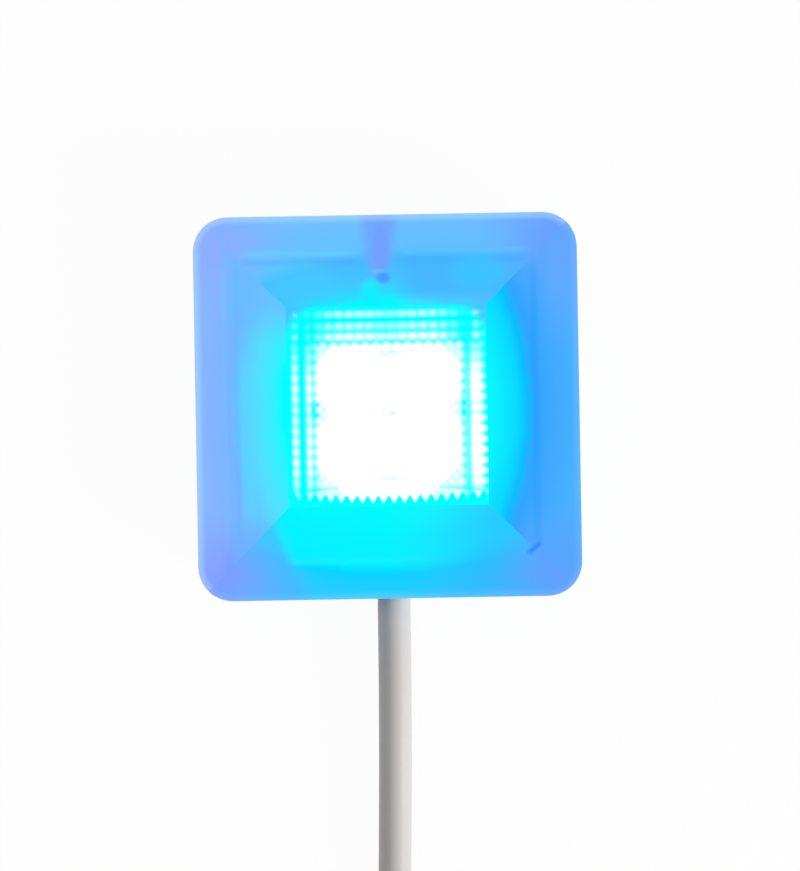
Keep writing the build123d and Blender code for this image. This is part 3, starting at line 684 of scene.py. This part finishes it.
FINISHES = {
    "lit_cover": lit_cover(),
    "base_plastic": tray_plastic(),
    "cable_jacket": jacket(),
    "circuit_board": circuit_board(),
    "seal_rubber": moulded("seal_rubber", tone(44, 44, 46), rough=0.75, grain=1400.0, depth=0.03),
    "grommet_rubber": moulded("grommet_rubber", tone(120, 119, 120), rough=0.66, grain=1600.0, depth=0.03),
    "steel_screws": metal("steel_screws", tone(206, 208, 212), rough=0.26, stretch=(1.0, 1.0, 0.2)),
    "led_ceramic": moulded("led_ceramic", tone(238, 236, 230), rough=0.35, grain=3000.0, depth=0.01),
    "led_silicone": moulded("led_silicone", tone(190, 232, 255), rough=0.12, grain=900.0, depth=0.005),
    "chip_black": moulded("chip_black", tone(52, 52, 55), rough=0.55, grain=3200.0),
    "capacitor_tan": moulded("capacitor_tan", tone(218, 172, 84), rough=0.45, grain=2600.0),
    "solder": metal("solder", tone(212, 213, 215), rough=0.22, scale=900.0),
    "core_white": moulded("core_white", tone(236, 236, 232), rough=0.36, grain=2400.0, depth=0.008),
    "core_brown": moulded("core_brown", tone(124, 74, 44), rough=0.36, grain=2400.0, depth=0.008),
    "core_green": moulded("core_green", tone(42, 150, 78), rough=0.36, grain=2400.0, depth=0.008),
    "core_yellow": moulded("core_yellow", tone(240, 208, 48), rough=0.36, grain=2400.0, depth=0.008),
    "insert_brass": metal("insert_brass", tone(222, 184, 104), rough=0.22, stretch=(1.0, 1.0, 6.0)),
    "vent_black": moulded("vent_black", tone(58, 58, 60), rough=0.6, grain=2000.0),
    "clamp_nylon": moulded("clamp_nylon", tone(232, 230, 222), rough=0.48, grain=1500.0),
    "tie_plastic": moulded("tie_plastic", tone(46, 46, 48), rough=0.5, grain=1100.0, depth=0.04),
    "collar_plastic": moulded("collar_plastic", tone(168, 172, 178), rough=0.4, grain=2600.0, depth=0.008),
    "ferrule_tin": metal("ferrule_tin", tone(214, 214, 216), rough=0.2, stretch=(1.0, 1.0, 1.0), scale=1200.0),
}
print("finishes", len(FINISHES))

# %% [markdown]
# Every hard part keeps its own solid. Only its finish changes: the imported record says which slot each
# part takes, so one loop dresses them all.

# %% Dress the hard parts
slots = {row["node"]: row["material_slot"] for row in frame["record"]["subparts"]}
for node, thing in frame["nodes"].items():
    for material_slot in thing.material_slots:
        material_slot.material = FINISHES[slots[node]].material
print("dressed", len(frame["nodes"]))

# %% [markdown]
# ## Threads and strands by rule
# Two details follow a rule: the threads inside the brass inserts, each a helix swept with a small
# profile, and the strands at the cut end of each core, six round one. A Geometry Nodes tree holds
# each rule, with named inputs. It runs once, and the result is kept as a plain mesh.


# %% A tree with named inputs
class Rule:
    """A Geometry Nodes tree. One method makes any node; `finish` closes the tree."""

    def __init__(self, name, **inputs):
        self.tree = bpy.data.node_groups.new(name, "GeometryNodeTree")
        self.tree.is_modifier = True
        self.tree.interface.new_socket("Geometry", in_out="OUTPUT", socket_type="NodeSocketGeometry")
        for label, kind in inputs.items():
            self.tree.interface.new_socket(label, in_out="INPUT", socket_type=f"NodeSocket{kind}")
        self.given = self.tree.nodes.new("NodeGroupInput").outputs

    def node(self, kind, values=(), output=0, **settings):
        made = self.tree.nodes.new(kind)
        for key, value in settings.items():
            setattr(made, key, value)
        for key, value in dict(values).items():
            if isinstance(value, bpy.types.NodeSocket):
                self.tree.links.new(value, made.inputs[key])
            else:
                made.inputs[key].default_value = value
        return made.outputs[output]

    def finish(self, geometry):
        real = self.node("GeometryNodeRealizeInstances", {"Geometry": geometry})
        dressed = self.node("GeometryNodeSetMaterial", {"Geometry": real, "Material": self.given["Finish"]})
        self.tree.links.new(dressed, self.tree.nodes.new("NodeGroupOutput").inputs["Geometry"])
        return self

    def grow(self, name, **values):
        """Runs the tree once on an empty piece, and keeps the result as a plain mesh."""
        piece = bpy.data.objects.new(name, bpy.data.meshes.new(f"{name}_start"))
        bpy.context.scene.collection.objects.link(piece)
        modifier = piece.modifiers.new("rule", "NODES")
        modifier.node_group = self.tree
        for item in self.tree.interface.items_tree:
            if item.in_out == "INPUT":
                modifier[item.identifier] = values[item.name]
        graph = bpy.context.evaluated_depsgraph_get()
        made = bpy.data.meshes.new_from_object(piece.evaluated_get(graph))
        piece.modifiers.remove(modifier)
        piece.data = made
        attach(piece, BODY)
        return piece


# %% The thread rule
thread = Rule("thread_rule", Bore="Float", Pitch="Float", Turns="Float", Ridge="Float", Foot="Vector",
              Finish="Material")
rise = thread.node("ShaderNodeMath", {0: thread.given["Pitch"], 1: thread.given["Turns"]}, operation="MULTIPLY")
helix = thread.node("GeometryNodeCurveSpiral", {
    "Resolution": 32, "Rotations": thread.given["Turns"], "Start Radius": thread.given["Bore"],
    "End Radius": thread.given["Bore"], "Height": rise})
profile = thread.node("GeometryNodeCurvePrimitiveCircle", {"Resolution": 6, "Radius": thread.given["Ridge"]})
swept = thread.node("GeometryNodeCurveToMesh", {"Curve": helix, "Profile Curve": profile, "Fill Caps": True})
lifted = thread.node("GeometryNodeTransform", {"Geometry": swept, "Translation": thread.given["Foot"]})
thread.finish(lifted)

for side in ("left", "right"):
    low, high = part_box(f"insert_{side}")
    foot = ((low[0] + high[0]) / 2, (low[1] + high[1]) / 2, low[2] + 0.4 * MM)
    piece = thread.grow(f"insert_thread_{side}", Bore=1.66 * MM, Pitch=0.7 * MM, Turns=6.0, Ridge=0.13 * MM,
                        Foot=foot, Finish=FINISHES["insert_brass"].material)
    print(piece.name, len(piece.data.polygons), "faces")

# %% The strand rule
strand = Rule("strand_rule", Spread="Float", Thickness="Float", Length="Float", Seed="Int", Tip="Vector",
              Turn="Vector", Finish="Material")
ring_points = strand.node("GeometryNodeMeshCircle", {"Vertices": 6, "Radius": strand.given["Spread"]})
middle = strand.node("GeometryNodeMeshLine", {"Count": 1})
places = strand.node("GeometryNodeJoinGeometry", {0: ring_points})
strand.tree.links.new(middle, places.node.inputs[0])
wire = strand.node("GeometryNodeMeshCylinder", {
    "Vertices": 12, "Radius": strand.given["Thickness"], "Depth": strand.given["Length"]})
uneven = strand.node("FunctionNodeRandomValue", {"Min": (1.0, 1.0, 0.6), "Max": (1.0, 1.0, 1.0),
                                                 "Seed": strand.given["Seed"]}, data_type="FLOAT_VECTOR")
bundle = strand.node("GeometryNodeInstanceOnPoints", {"Points": places, "Instance": wire, "Scale": uneven})
aimed = strand.node("GeometryNodeTransform", {
    "Geometry": bundle, "Translation": strand.given["Tip"], "Rotation": strand.given["Turn"]})
strand.finish(aimed)

FERRULE_REACH = 12.5                    # collar and ferrule together, from the end of a core
strands = []
for seed, (colour, route) in enumerate(CORE_ROUTES.items()):
    ahead = (Vector(route[-1]) - Vector(route[-2])).normalized()
    tip = Vector((cut_x, cut_y, 0.0)) + Vector(route[-1]) + ahead * FERRULE_REACH
    piece = strand.grow(f"strands_{colour}", Spread=0.36 * MM, Thickness=0.17 * MM, Length=0.7 * MM, Seed=seed,
                        Tip=tip * MM, Turn=tuple(ahead.to_track_quat("Z", "Y").to_euler()),
                        Finish=FINISHES["ferrule_tin"].material)
    strands.append(piece)
print("strand bundles", len(strands))

# %% Dress and tie in the cords
lead.data.materials.append(FINISHES["cable_jacket"].material)
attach(lead, BODY)
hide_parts("cable", "cable_coil")

for colour, core in cores.items():
    core.data.materials.append(FINISHES[f"core_{colour}"].material)
    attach(core, BODY)
    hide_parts(f"core_{colour}")

on_lead = [frame["nodes"][name] for name in ("coil_tie_1", "coil_tie_2")]
for colour, core in cores.items():
    on_lead += [core, frame["nodes"][f"ferrule_collar_{colour}"], frame["nodes"][f"ferrule_{colour}"]]
on_lead += strands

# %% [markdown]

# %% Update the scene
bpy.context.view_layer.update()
